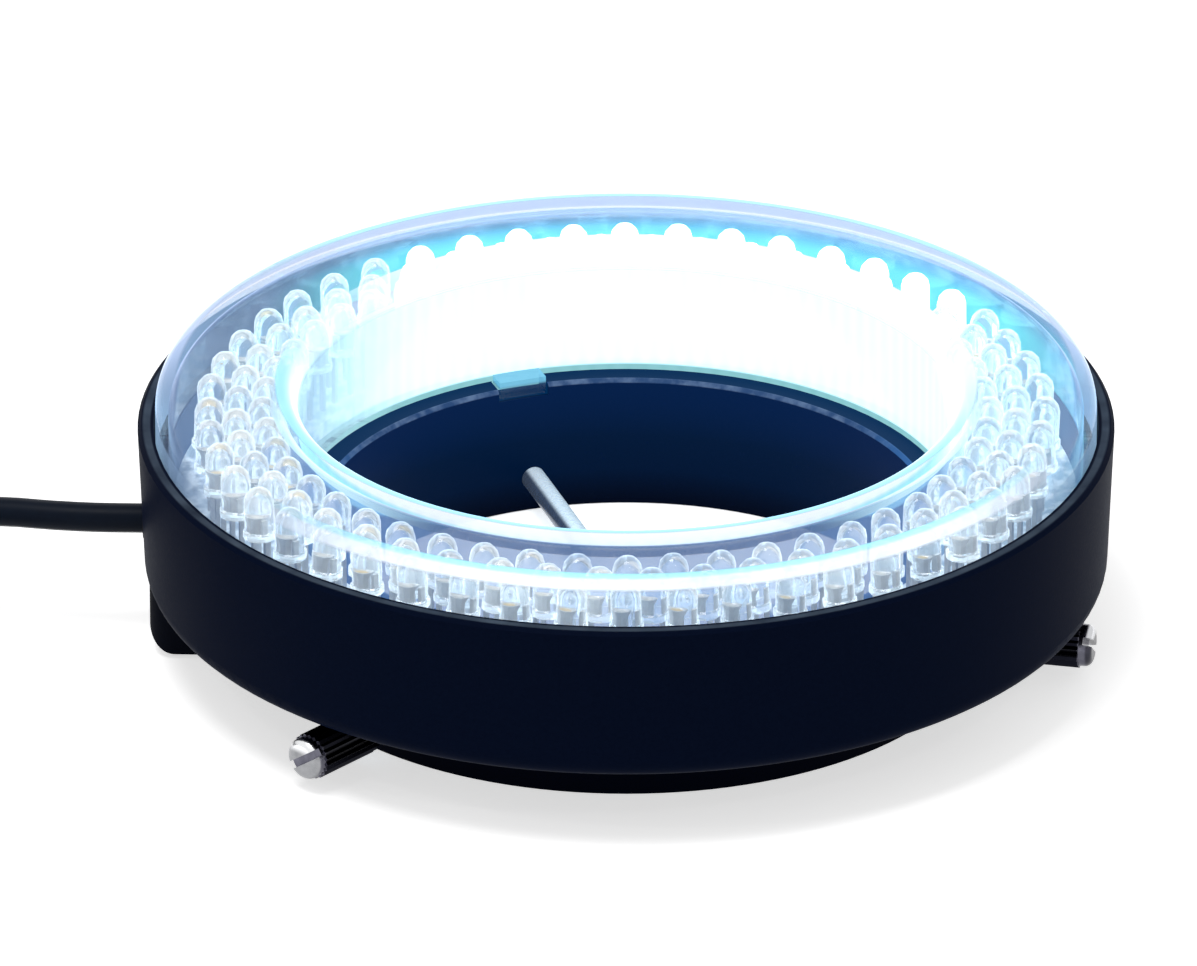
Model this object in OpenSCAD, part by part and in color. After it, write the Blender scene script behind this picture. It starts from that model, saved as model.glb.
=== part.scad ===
// Microscope ring light: a round housing with three rings of clear lamps under a channel cover,
// a clamp collar with three thumb screws, and a supply cord with its connector.
// Millimetres. The light face looks up along +Z, and the collar stands on z = 0 round the Z axis.

/* [Clamp collar] */
// Diameter of the bore that goes over the microscope head
bore_d = 61; // [50:0.5:70]
// Wall of the collar round the bore
collar_wall = 5.5; // [5:0.1:8]
// Height of the collar from its lower face to the housing's underside
collar_h = 7.6; // [7:0.1:12]
// Height of the sleeve from the housing's underside up to the ledge in the bore
sleeve_h = 6.4; // [4:0.1:6.5]
// Width of the dark ledge inside the cover
ledge_w = 2.5; // [2:0.1:3.5]
// Chamfer on the ledge's edge round the bore
ledge_chamfer = 0.3; // [0.2:0.1:1]
// Gap between the sleeve and the hole in the housing floor
sleeve_fit = 0.05; // [0.02:0.01:0.2]

/* [Clear cover] */
// Thickness of the cover's walls and top
cover_wall = 1.3; // [1:0.1:1.8]
// Radius of the rounded edge round the outside of the top
cover_outer_r = 2.4; // [1.5:0.1:3]
// Radius of the rounded edge round the inside of the top
cover_inner_r = 2; // [1.5:0.1:2.5]
// Height of the cover above the housing's rim
cover_show = 4.2; // [3:0.1:6]
// Depth of the cover's seat below the rim
seat_depth = 4; // [2:0.1:6]
// Width of the seat that the cover's outer wall stands on
seat_w = 1.6; // [1.2:0.1:2.2]
// Gap between the cover and the housing's rim
cover_fit = 0.2; // [0.1:0.05:0.4]
// Gap between the lamps' tops and the cover
lamp_headroom = 0.6; // [0.3:0.1:2]
// Angle of the first locating lug on the cover's inner wall, from +X
lug_start = 110; // [100:1:116]
// Width of each lug
lug_w = 5; // [3:0.5:8]
// Depth of each lug's notch in the ledge
lug_depth = 1.3; // [0.8:0.1:2]
// Height of each lug above the ledge
lug_rise = 0.7; // [0.4:0.1:1.2]
// Gap between a lug and its notch
lug_fit = 0.2; // [0.1:0.05:0.4]

/* [Lamps] */
// Diameter of a lamp
led_d = 3; // [2.8:0.1:3.2]
// Diameter of a lamp's flange
led_flange_d = 3.4; // [3.2:0.05:3.6]
// Height of a lamp's flange
led_flange_h = 0.8; // [0.5:0.1:1.2]
// Height of a lamp from its base to its dome's top
led_h = 5.3; // [4.5:0.1:6]
// Number of lamps in each ring
led_count = 48; // [40:4:48]
// Number of rings of lamps
led_rings = 3; // [1:1:3]
// Distance between neighbouring rings
ring_step = 2.8; // [2.8:0.05:3.4]
// Gap between the inner ring's flanges and the cover's inner wall
inner_gap = 0.3; // [0.2:0.1:1]
// Gap between the outer ring's flanges and the cover's outer wall
outer_gap = 2.3; // [1.5:0.1:4]
// Angle at which the lit quarter begins, from +X
zone_start = 37.5; // [0:0.5:89.5]
// Distance between a lamp's two legs
lead_pitch = 2.54; // [2:0.02:2.54]
// Width of a square lamp leg
lead_w = 0.45; // [0.3:0.05:0.6]
// Length of a lamp leg between the board and the lamp
lead_h = 5.2; // [3:0.1:6]

/* [Board] */
// Thickness of the circuit board
board_t = 1.6; // [1:0.1:2]
// Gap between the board and the walls beside it
board_gap = 0.4; // [0.2:0.1:0.8]
// Height of the standoffs under the board
standoff_h = 4.6; // [4.2:0.1:6]
// Width of a standoff across its flats
standoff_w = 4; // [3.6:0.1:4.4]
// Diameter of the standoff's spigot in the board
spigot_d = 2; // [1.5:0.1:2.2]
// Distance from the standoffs' axes to the board's outer edge
standoff_inset = 2.5; // [2.5:0.1:3.5]
// Number of resistors in each zone
resistor_count = 12; // [4:1:12]
// Length of a resistor
resistor_l = 2; // [1.6:0.1:2.4]
// Width of a resistor
resistor_w = 1.25; // [0.8:0.05:1.6]
// Height of a resistor
resistor_h = 0.5; // [0.3:0.1:0.8]

/* [Housing] */
// Thickness of the housing wall at the rim
housing_wall = 1.6; // [1.2:0.1:2.4]
// Thickness of the housing floor
housing_floor = 2; // [1.8:0.1:3]
// Amount by which the wall draws in from the rim to the underside
housing_draft = 0.6; // [0:0.1:1]
// Radius of the rounded edge round the underside
housing_edge_r = 2.2; // [1:0.1:3]
// Bevel on the rim
rim_bevel = 0.35; // [0.1:0.05:0.5]

/* [Small screws] */
// Diameter of the small screws' threads
screw_d = 2; // [1.6:0.1:2]
// Diameter of their heads
screw_head_d = 3.6; // [3:0.1:3.8]
// Height of their heads
screw_head_h = 1; // [0.8:0.1:1.1]
// Length of thread in what a screw holds
screw_grip = 1.6; // [1:0.1:1.7]
// Gap beyond a screw's end
screw_end_gap = 0.2; // [0.1:0.05:0.3]
// Width and depth of the slot in a small screw's head
screw_slot = 0.5; // [0.3:0.05:0.6]
// Gap round a screw's thread
screw_fit = 0.03; // [0.02:0.01:0.08]
// Gap round a screw's head
head_fit = 0.2; // [0.1:0.05:0.4]

/* [Thumb screws] */
// Height of the thumb screws' axes above the collar's lower face
thumb_z = 3.5; // [3:0.1:4]
// Angle of the first thumb screw, from +X
thumb_start = 108; // [100:1:116]
// Diameter of the thumb screw's stud
stud_d = 2.44; // [2:0.02:2.6]
// Running gap round the stud
stud_fit = 0.03; // [0.02:0.01:0.08]
// Length of the stud inside the bore
stud_reach = 15.5; // [2:0.5:18]
// Depth of the stud in the knurled head
stud_seat = 7; // [4:0.1:7.4]
// Gap beyond the stud's end in the head
stud_end_gap = 0.3; // [0.1:0.05:0.5]
// Diameter of the knurled head
head_d = 4.7; // [4.4:0.1:5.4]
// Length of the knurled head
head_l = 9; // [8.6:0.1:12]
// Gap between the head and the collar as the screw is set
head_gap = 3; // [0.5:0.1:5]
// Number of flutes round the head
flute_count = 22; // [16:1:28]
// Depth of a flute
flute_depth = 0.22; // [0.1:0.02:0.3]
// Length of the smooth rounded end of the head
head_nose = 1.3; // [1:0.1:2]
// Rounding of the head's end
nose_r = 0.8; // [0.4:0.1:1]
// Width of the slot across the head's end
slot_w = 0.8; // [0.5:0.1:1]
// Depth of the slot
slot_depth = 0.9; // [0.5:0.1:1.2]

/* [Terminal box] */
// Angle of the terminal box and of the cord's exit, from +X
cord_angle = 178; // [174:1:180]
// Width of the box across the housing
box_w = 14.4; // [13:0.2:18]
// Length of the box along the housing's radius
box_l = 10.8; // [10:0.1:11]
// Height of the gap under the box
box_lift = 0.4; // [0.2:0.1:1]
// Distance from the housing's lower wall in to the box's outer face
box_inset = 0.6; // [0:0.1:1]
// Thickness of the box's walls
box_wall = 1.4; // [1:0.1:2]
// Rounding of the box's lower edge and upright corners
box_r = 2.6; // [1.5:0.1:3]
// Diameter of the posts round the box's screws
post_d = 5; // [4.8:0.1:5.4]
// Distance between the box's screws
box_screw_pitch = 7.6; // [6:0.1:7.8]

/* [Cord] */
// Diameter of the cord
cord_d = 3; // [3:0.1:3.2]
// Diameter of the bush in the housing wall
bush_d = 4; // [3.8:0.1:5]
// Height of the bush above the floor and the rounded edge
bush_lift = 0.3; // [0.2:0.1:1]
// Gap round the bush and the cord in it
bush_fit = 0.05; // [0.02:0.01:0.1]
// Length of the cord's jacket inside the housing wall
jacket_in = 2.8; // [2:0.1:4]
// Number of conductors in the cord
wire_count = 5; // [3:1:5]
// Diameter of a conductor
wire_d = 0.5; // [0.4:0.02:0.52]
// Distance between conductors
wire_pitch = 0.56; // [0.54:0.01:0.6]
// Shortest run of a conductor before it turns up to the board
wire_run = 1.4; // [1:0.1:2]
// Bend radius of a conductor
wire_bend = 0.8; // [0.6:0.1:1]
// Tightest radius of the coiled cord's centre line
coil_r = 12; // [12:0.1:12.5]
// Number of turns in each layer of the coil
coil_turns = 3; // [2:1:3]
// Number of layers in the coil
coil_layers = 4; // [2:2:4]
// Distance between neighbouring turns, sideways and up
coil_step = 3.5; // [3.5:0.05:3.7]
// Thickness of the tie round the coil
tie_t = 0.8; // [0.6:0.1:0.9]
// Width of the tie
tie_w = 7; // [4:0.5:10]
// Gap between the tie and the coil
tie_fit = 0.1; // [0.05:0.05:0.3]

/* [Connector] */
// Diameter of the connector's moulded body
plug_d = 11.6; // [11:0.1:12]
// Gap under the connector as it lies
plug_lift = 0.1; // [0:0.05:0.3]
// Length of the moulded body
plug_l = 14; // [12:0.5:14]
// Rounding of the body's ends
plug_edge_r = 1.2; // [0.5:0.1:2]
// Length of the tapered boot behind the body
boot_l = 9; // [6:0.5:9]
// Diameter of the boot at the cord
boot_tip_d = 4.6; // [4:0.1:5]
// Diameter of the boot at the body
boot_root_d = 7; // [6:0.1:8]
// Number of grooves that let the boot bend
boot_grooves = 3; // [1:1:4]
// Width of a groove in the boot
boot_groove_w = 0.7; // [0.4:0.1:0.9]
// Number of grip grooves round the moulded body
grip_grooves = 2; // [1:1:3]
// Width of a grip groove
grip_groove_w = 1.2; // [0.6:0.1:1.6]
// Distance between neighbouring grip grooves
grip_step = 3; // [2.4:0.1:3.4]
// Depth of the grooves in the boot and the body
groove_depth = 0.35; // [0.2:0.05:0.5]
// Outer diameter of the metal shell
shell_d = 9.4; // [9:0.1:10]
// Length of the shell in front of the body
shell_l = 8; // [6:0.5:8]
// Thickness of the shell
shell_t = 0.7; // [0.5:0.05:1]
// Depth of the insulator's face inside the shell
insert_depth = 4.5; // [3:0.1:5]
// Gap between the shell and the insulator
insert_fit = 0.05; // [0.02:0.01:0.1]
// Diameter of a contact pin
pin_d = 0.9; // [0.6:0.1:1]
// Diameter of the circle of contact pins
pin_circle_d = 5; // [4:0.1:5.4]
// Distance from a pin's tip to the shell's edge
pin_inset = 1; // [0.5:0.1:2]

/* [Hidden] */
$fn = 64;

// Extra length that carries a cut clear through a face
cut = 1;

// Radii, from the bore outwards
bore_r = bore_d / 2;
collar_r = bore_r + collar_wall;
cover_bore_r = bore_r + ledge_w;
channel_r = cover_bore_r + cover_wall;
ring_r = [for (i = [0 : led_rings - 1]) channel_r + inner_gap + led_flange_d / 2 + i * ring_step];
cover_r = ring_r[led_rings - 1] + led_flange_d / 2 + outer_gap + cover_wall;
rim_r = cover_r + cover_fit;
housing_r = rim_r + housing_wall;
base_r = housing_r - housing_draft;
seat_r = rim_r - seat_w;
sleeve_r = channel_r;
board_in_r = channel_r + board_gap;
board_out_r = seat_r - board_gap;
standoff_r = board_out_r - standoff_inset;

// Heights, from the collar's lower face upwards
floor_z = collar_h;
inside_z = floor_z + housing_floor;
ledge_z = floor_z + sleeve_h;
board_z = inside_z + standoff_h;
board_top_z = board_z + board_t;
led_z = board_top_z + lead_h;
cover_top_z = led_z + led_h + lamp_headroom + cover_wall;
rim_z = cover_top_z - cover_show;
seat_z = rim_z - seat_depth;
cord_z = floor_z + max(housing_floor, housing_edge_r) + bush_lift + bush_d / 2;

// Places round the ring
lug_count = 3;
zones = 4;
zone_angle = 360 / zones;
led_angle = 360 / led_count;
led_per_zone = led_count / zones;
standoff_angle = zone_start + led_angle * (floor(led_per_zone / 4) + 0.5);
resistor_angle = zone_angle / resistor_count;
resistor_r = (board_in_r + standoff_r - standoff_w) / 2 + resistor_w;

// Clearance hole for a small screw
screw_hole_d = screw_d + 2 * screw_fit;

// Thumb screws: how many, how far each head's slot is turned from level, and their stations along a radius
thumb_count = 3;
head_turns = [0, 35, -36];
head_in_r = collar_r + head_gap;
stud_tip_r = bore_r - stud_reach;
stud_end_r = head_in_r + stud_seat;

// Terminal box stations along its radius
box_out_r = base_r - box_inset;
box_mid_r = box_out_r - box_l / 2;
box_h = floor_z - box_lift;

// Cord: the exit in the housing wall, the lead's route to the coil and the tail's route to the connector
wall_slope = housing_draft / (rim_z - floor_z);
exit_r = base_r + wall_slope * (cord_z - floor_z) + bush_fit;
exit_run = 5;
coil_centre = [-90, 27.5];
coil_base_z = tie_t + tie_fit + cord_d / 2;
coil_out_r = coil_r + coil_turns * coil_step;
coil_top_z = coil_base_z + (coil_layers - 1) * coil_step;
coil_side_y = coil_centre[1] - coil_out_r;
lead_points = [
    [-58, 2.4, 12.1], [-63, 3.4, 12], [-67, 4.1, 11.5], [-71, 4.6, 10.2], [-75, 4.9, 7.2], [-79, 5, 4.2],
    [-83, 5, 2.8]];
tail_points = [
    [-100, 4.6, 12.4], [-105, 3, 11.6], [-109.5, -1, 10.4], [-111, -7, 9], [-109.5, -13, 7.6],
    [-105, -17.2, 6.5]];
plug_y = -19;
plug_z = plug_d / 2 + plug_lift;
boot_x = -97;
body_x = boot_x + boot_l;
shell_x = body_x + plug_l;

// Children turned to a place round the Z axis and laid along its radius, their own Z outwards
module on_radius(angle, r, z) {
    rotate([0, 0, angle])
        translate([r, 0, z])
            rotate([0, 90, 0])
                children();
}

// Flat ring between two radii
module ring(r_in, r_out, z, h) {
    translate([0, 0, z])
        difference() {
            cylinder(r = r_out, h = h, $fn = 128);
            translate([0, 0, -cut]) cylinder(r = r_in, h = h + 2 * cut, $fn = 128);
        }
}

// Rectangle from one corner to the other
module span(low, high) {
    translate(low) square(high - low);
}

// Collar, its sleeve and the ledge that the cover stands on

module collar_profile() {
    difference() {
        union() {
            span([bore_r, 0], [collar_r, floor_z]);
            span([bore_r, 0], [sleeve_r, ledge_z]);
        }
        translate([bore_r, ledge_z])
            rotate(45)
                square(ledge_chamfer * sqrt(2), center = true);
    }
}

module mount_collar() {
    color([0.03, 0.04, 0.07])
        difference() {
            rotate_extrude($fn = 128) collar_profile();
            for (i = [0 : thumb_count - 1])
                on_radius(thumb_start + i * 360 / thumb_count, bore_r - cut, thumb_z)
                    cylinder(d = stud_d + 2 * stud_fit, h = collar_wall + 2 * cut, $fn = 32);
            for (i = [0 : lug_count - 1])
                rotate([0, 0, lug_start + i * 360 / lug_count])
                    translate([bore_r - cut, -lug_w / 2 - lug_fit, ledge_z - lug_depth])
                        cube([ledge_w + cut + lug_fit, lug_w + 2 * lug_fit, lug_depth + cut]);
        }
}

// Housing: a drafted wall with a rounded lower edge, a floor and a stepped seat for the cover

module housing_profile() {
    wall_angle = atan(wall_slope);
    edge_z = floor_z + housing_edge_r;
    edge_r = base_r + wall_slope * housing_edge_r - housing_edge_r / cos(wall_angle);
    hole_r = sleeve_r + sleeve_fit;
    difference() {
        union() {
            polygon([
                [hole_r, floor_z], [edge_r, floor_z],
                [edge_r + housing_edge_r * cos(wall_angle), edge_z - housing_edge_r * sin(wall_angle)],
                [housing_r - rim_bevel * wall_slope, rim_z - rim_bevel],
                [housing_r - rim_bevel, rim_z], [hole_r, rim_z]]);
            translate([edge_r, edge_z]) circle(r = housing_edge_r);
        }
        span([hole_r - cut, inside_z], [seat_r, rim_z + cut]);
        span([hole_r - cut, seat_z], [rim_r, rim_z + cut]);
    }
}

module housing() {
    color([0.05, 0.07, 0.13])
        difference() {
            rotate_extrude($fn = 160) housing_profile();
            on_radius(cord_angle, seat_r - cut, cord_z)
                cylinder(d = bush_d + 2 * bush_fit, h = housing_r - seat_r + 2 * cut, $fn = 32);
            for (k = [0 : zones - 1])
                rotate([0, 0, standoff_angle + k * zone_angle])
                    translate([standoff_r, 0, floor_z - cut]) {
                        cylinder(d = screw_hole_d, h = housing_floor + 2 * cut, $fn = 32);
                        cylinder(d = screw_head_d + 2 * head_fit, h = screw_head_h + cut, $fn = 32);
                    }
            for (side = [-1, 1])
                rotate([0, 0, cord_angle])
                    translate([box_mid_r, side * box_screw_pitch / 2, floor_z - cut])
                        cylinder(d = screw_hole_d, h = screw_grip + cut, $fn = 32);
        }
}

// Board and what carries it

module board_standoffs() {
    color([0.75, 0.6, 0.3])
        for (k = [0 : zones - 1])
            rotate([0, 0, standoff_angle + k * zone_angle])
                translate([standoff_r, 0, inside_z])
                    difference() {
                        union() {
                            cylinder(d = standoff_w / cos(30), h = standoff_h, $fn = 6);
                            cylinder(d = spigot_d, h = standoff_h + board_t, $fn = 32);
                        }
                        translate([0, 0, -cut])
                            cylinder(d = screw_hole_d, h = screw_grip + screw_end_gap + cut, $fn = 32);
                    }
}

module floor_screws() {
    color([0.6, 0.6, 0.62])
        for (k = [0 : zones - 1])
            rotate([0, 0, standoff_angle + k * zone_angle])
                translate([standoff_r, 0, floor_z + screw_head_h])
                    union() {
                        cylinder(d = screw_d, h = housing_floor - screw_head_h + screw_grip, $fn = 32);
                        mirror([0, 0, 1]) slotted_head();
                    }
}

// Head of a small screw, from its seat upwards
module slotted_head() {
    difference() {
        cylinder(d = screw_head_d, h = screw_head_h, $fn = 32);
        translate([-screw_head_d, -screw_slot / 2, screw_head_h - screw_slot])
            cube([2 * screw_head_d, screw_slot, screw_slot + cut]);
    }
}

module led_board() {
    color([0.85, 0.88, 0.9])
        difference() {
            ring(board_in_r, board_out_r, board_z, board_t);
            for (k = [0 : zones - 1])
                rotate([0, 0, standoff_angle + k * zone_angle])
                    translate([standoff_r, 0, board_z - cut])
                        cylinder(d = spigot_d + 2 * screw_fit, h = board_t + 2 * cut, $fn = 32);
        }
}

module board_resistors() {
    color([0.08, 0.08, 0.09])
        for (i = [0 : zones * resistor_count - 1])
            rotate([0, 0, zone_start + (i + 0.5) * resistor_angle])
                translate([resistor_r, 0, board_z - resistor_h / 2])
                    cube([resistor_w, resistor_l, resistor_h], center = true);
}

// Lamps: three rings, the middle one set half a step round, wired as four quarters

// Children at every lamp's place in one quarter
module at_lamps(zone) {
    for (j = [0 : led_rings - 1], i = [0 : led_per_zone - 1])
        rotate([0, 0, zone_start + zone * zone_angle + (i + (j % 2) / 2) * led_angle])
            translate([ring_r[j], 0, 0])
                children();
}

module lamp() {
    body_h = led_h - led_d / 2;
    rotate_extrude($fn = 32) {
        square([led_flange_d / 2, led_flange_h]);
        square([led_d / 2, body_h]);
        translate([0, body_h])
            intersection() {
                circle(d = led_d);
                square(led_d);
            }
    }
}

module led_zone(zone, tint) {
    color(tint)
        at_lamps(zone)
            translate([0, 0, led_z]) lamp();
}

module led_leads() {
    color([0.7, 0.71, 0.73])
        for (zone = [0 : zones - 1])
            at_lamps(zone)
                for (side = [-1, 1])
                    translate([-lead_w / 2, side * lead_pitch / 2 - lead_w / 2, board_top_z])
                        cube([lead_w, lead_w, lead_h]);
}

// Clear cover: a channel with rounded top edges, open below, with lugs that key it to the ledge

module channel_section(r_in, r_out, z_in, z_out, z_top, edge_in, edge_out) {
    span([r_in, z_in], [r_in + edge_in, z_top - edge_in]);
    span([r_in + edge_in, z_in], [(r_in + r_out) / 2, z_top]);
    span([(r_in + r_out) / 2, z_out], [r_out - edge_out, z_top]);
    span([r_out - edge_out, z_out], [r_out, z_top - edge_out]);
    translate([r_in + edge_in, z_top - edge_in]) circle(r = edge_in);
    translate([r_out - edge_out, z_top - edge_out]) circle(r = edge_out);
}

module cover_profile() {
    difference() {
        channel_section(cover_bore_r, cover_r, ledge_z, seat_z, cover_top_z, cover_inner_r, cover_outer_r);
        channel_section(channel_r, cover_r - cover_wall, ledge_z - cut, seat_z - cut,
            cover_top_z - cover_wall, cover_inner_r - cover_wall / 2, cover_outer_r - cover_wall / 2);
    }
}

module clear_cover() {
    color([0.8, 0.92, 1, 0.4])
        union() {
            rotate_extrude($fn = 160) cover_profile();
            for (i = [0 : lug_count - 1])
                rotate([0, 0, lug_start + i * 360 / lug_count])
                    translate([bore_r + lug_fit, -lug_w / 2, ledge_z - lug_depth + lug_fit])
                        cube([ledge_w, lug_w, lug_depth - lug_fit + lug_rise]);
        }
}

// Thumb screws: a stud that slides through the collar, and a fluted head that turns it

module clamp_stud(i) {
    color([0.75, 0.77, 0.8])
        on_radius(thumb_start + i * 360 / thumb_count, stud_tip_r, thumb_z)
            cylinder(d = stud_d, h = stud_end_r - stud_tip_r, $fn = 32);
}

function flute_outline() = [for (k = [0 : 2 * flute_count - 1])
    (head_d / 2 - (k % 2) * flute_depth) * [cos(180 * k / flute_count), sin(180 * k / flute_count)]];

module thumb_head(i) {
    fluted_l = head_l - head_nose;
    nose_d = head_d - 2 * flute_depth;
    color([0.66, 0.68, 0.71])
        on_radius(thumb_start + i * 360 / thumb_count, head_in_r, thumb_z)
            rotate(head_turns[i])
                difference() {
                    union() {
                        linear_extrude(fluted_l) polygon(flute_outline());
                        rotate_extrude($fn = 48) {
                            square([nose_d / 2, head_l - nose_r]);
                            square([nose_d / 2 - nose_r, head_l]);
                            translate([nose_d / 2 - nose_r, head_l - nose_r]) circle(r = nose_r);
                        }
                    }
                    translate([0, 0, -cut])
                        cylinder(d = stud_d + 2 * stud_fit, h = stud_seat + stud_end_gap + cut, $fn = 32);
                    translate([-slot_w / 2, -head_d, head_l - slot_depth])
                        cube([slot_w, 2 * head_d, slot_depth + cut]);
                }
}

// Terminal box: a hollow moulding under the floor, held by two screws through its posts

// Solid with the box's outline, drawn in by a wall on its sides and its lower face
module box_block(wall) {
    edge = box_r - wall;
    l = box_l - 2 * wall;
    w = box_w - 2 * wall;
    h = box_h - wall;
    intersection() {
        translate([0, 0, -box_h])
            linear_extrude(2 * box_h) {
                square([l - 2 * edge, w], center = true);
                square([l, w - 2 * edge], center = true);
                for (x = [-1, 1], y = [-1, 1])
                    translate([x * (l / 2 - edge), y * (w / 2 - edge)]) circle(r = edge);
            }
        translate([0, w, wall])
            rotate([90, 0, 0])
                linear_extrude(2 * w) {
                    span([-l / 2, edge], [l / 2, h + cut * sign(wall)]);
                    span([-l / 2 + edge, 0], [l / 2 - edge, h + cut * sign(wall)]);
                    for (x = [-1, 1]) translate([x * (l / 2 - edge), edge]) circle(r = edge);
                }
    }
}

module terminal_box() {
    color([0.03, 0.04, 0.07])
        rotate([0, 0, cord_angle])
            translate([box_mid_r, 0, box_lift])
                difference() {
                    union() {
                        difference() {
                            box_block(0);
                            box_block(box_wall);
                        }
                        for (side = [-1, 1])
                            translate([0, side * box_screw_pitch / 2, box_wall / 2])
                                cylinder(d = post_d, h = box_h - box_wall / 2, $fn = 32);
                    }
                    for (side = [-1, 1])
                        translate([0, side * box_screw_pitch / 2, -cut]) {
                            cylinder(d = screw_hole_d, h = box_h + 2 * cut, $fn = 32);
                            cylinder(d = screw_head_d + 2 * head_fit, h = screw_head_h + cut, $fn = 32);
                        }
                }
}

module box_screws() {
    shank_l = box_h - screw_head_h + screw_grip - screw_end_gap;
    color([0.6, 0.6, 0.62])
        for (side = [-1, 1])
            rotate([0, 0, cord_angle])
                translate([box_mid_r, side * box_screw_pitch / 2, box_lift + screw_head_h])
                    union() {
                        cylinder(d = screw_d, h = shank_l, $fn = 32);
                        mirror([0, 0, 1]) slotted_head();
                    }
}

// Cord: bush in the wall, stripped end inside, free lead, coil, tail and connector

module cord_bush() {
    color([0.05, 0.05, 0.06])
        on_radius(cord_angle, seat_r, cord_z)
            difference() {
                cylinder(d = bush_d, h = exit_r - seat_r, $fn = 32);
                translate([0, 0, -cut])
                    cylinder(d = cord_d + 2 * bush_fit, h = exit_r - seat_r + 2 * cut, $fn = 32);
            }
}

module supply_wires() {
    jacket_r = seat_r - jacket_in;
    color([0.06, 0.07, 0.09]) {
        on_radius(cord_angle, jacket_r, cord_z)
            cylinder(d = cord_d, h = exit_r - jacket_r, $fn = 32);
        for (i = [0 : wire_count - 1]) {
            place = i - (wire_count - 1) / 2;
            run = wire_run + abs(place) * wire_pitch;
            rotate([0, 0, cord_angle])
                translate([jacket_r - run, place * wire_pitch, cord_z]) {
                    rotate([0, 90, 0]) cylinder(d = wire_d, h = run, $fn = 24);
                    rotate([90, 0, 0])
                        translate([0, wire_bend, 0])
                            rotate([0, 0, 180])
                                rotate_extrude(angle = 90, $fn = 48)
                                    translate([wire_bend, 0]) circle(d = wire_d, $fn = 24);
                    translate([-wire_bend, 0, wire_bend])
                        cylinder(d = wire_d, h = board_z - cord_z - wire_bend, $fn = 24);
                }
        }
    }
}

function unit(v) = v / norm(v);

// Ring of a tube round one point of its path, square to the path there
function tube_ring(path, i, sides, r) =
    let (
        along = unit(path[min(i + 1, len(path) - 1)] - path[max(i - 1, 0)]),
        across = unit(cross(along, [0, 0, 1])),
        up = cross(across, along))
    [for (k = [0 : sides - 1])
        path[i] + r * (cos(360 * k / sides) * across + sin(360 * k / sides) * up)];

// Tube along a path, as triangles
module tube(path, sides, d) {
    last = len(path) - 1;
    rings = [for (i = [0 : last]) each tube_ring(path, i, sides, d / 2)];
    skin = [for (i = [0 : last - 1], k = [0 : sides - 1])
        let (a = i * sides + k, b = i * sides + (k + 1) % sides)
        each [[a, b, a + sides], [b, b + sides, a + sides]]];
    ends = [for (k = [1 : sides - 2])
        each [[0, k + 1, k], [last * sides, last * sides + k, last * sides + k + 1]]];
    polyhedron(rings, concat(skin, ends));
}

// The coil spirals in and out again, layer by layer, and climbs in the half turn round each reversal
coil_sides = 6;
coil_rings = 24;
function coil_reach(t) = coil_out_r - coil_step * (coil_turns - abs(coil_turns - t % (2 * coil_turns)));
function coil_layer(t) = floor(t / coil_turns + 0.5);
function coil_climb(t) =
    let (layer = coil_layer(t), past = (t - layer * coil_turns) * 2 + 0.5)
    layer < 1 ? 0 : layer > coil_layers - 1 ? coil_layers - 1 : layer - 1 + min(1, max(0, past));
function coil_point(t) = [
    coil_centre[0] + coil_reach(t) * cos(-90 - 360 * t),
    coil_centre[1] + coil_reach(t) * sin(-90 - 360 * t),
    coil_base_z + coil_step * coil_climb(t)];
coil_span = coil_turns * coil_layers;
coil_start = [coil_centre[0] + cord_d, coil_side_y, coil_base_z];
coil_end = [coil_centre[0] - cord_d, coil_side_y, coil_top_z];
coil_path = concat(
    [coil_start],
    [for (k = [0 : coil_span * coil_rings]) coil_point(k / coil_rings)],
    [coil_end]);

exit_way = [cos(cord_angle), sin(cord_angle), 0];
exit_point = exit_r * exit_way + [0, 0, cord_z];
lead_path = concat(
    [exit_point, exit_point + exit_run * exit_way],
    lead_points,
    [coil_start + [cord_d, 0, 0], coil_start]);
tail_path = concat(
    [coil_end, coil_end - [cord_d, 0, 0]],
    tail_points,
    [[boot_x - cord_d, plug_y, plug_z], [boot_x, plug_y, plug_z]]);

// Least gap between two stretches of the coil that are over a quarter turn apart
apart = coil_rings / 4;
coil_gap = min([for (i = [1 : len(coil_path) - 2 - apart], j = [i + apart : len(coil_path) - 2])
    norm(coil_path[i] - coil_path[j])]) - cord_d;
function path_length(path) =
    let (steps = [for (i = [1 : len(path) - 1]) norm(path[i] - path[i - 1])])
    steps * [for (step = steps) 1];

module cord_lead() { color([0.06, 0.08, 0.11]) tube(lead_path, 8, cord_d); }

module cord_coil() { color([0.06, 0.08, 0.11]) tube(coil_path, coil_sides, cord_d); }

module cord_tail() { color([0.06, 0.08, 0.11]) tube(tail_path, 8, cord_d); }

module coil_tie() {
    in_r = coil_r - cord_d / 2 - tie_fit;
    out_r = coil_out_r + cord_d / 2 + tie_fit;
    top_z = coil_top_z + cord_d / 2 + tie_fit;
    color([0.1, 0.1, 0.11])
        translate([coil_centre[0], coil_centre[1] + tie_w / 2, 0])
            rotate([90, 0, 0])
                linear_extrude(tie_w)
                    difference() {
                        tie_outline([-out_r - tie_t, 0], [-in_r + tie_t, top_z + tie_t], 2 * tie_t);
                        tie_outline([-out_r, tie_t], [-in_r, top_z], tie_t);
                    }
}

// Rectangle with rounded corners
module tie_outline(low, high, r) {
    span(low + [r, 0], high - [r, 0]);
    span(low + [0, r], high - [0, r]);
    for (x = [low[0] + r, high[0] - r], y = [low[1] + r, high[1] - r])
        translate([x, y]) circle(r = r);
}

// Children laid along the connector's axis, their own Z towards its open end
module on_plug(x) {
    translate([x, plug_y, plug_z])
        rotate([0, 90, 0])
            children();
}

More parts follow.
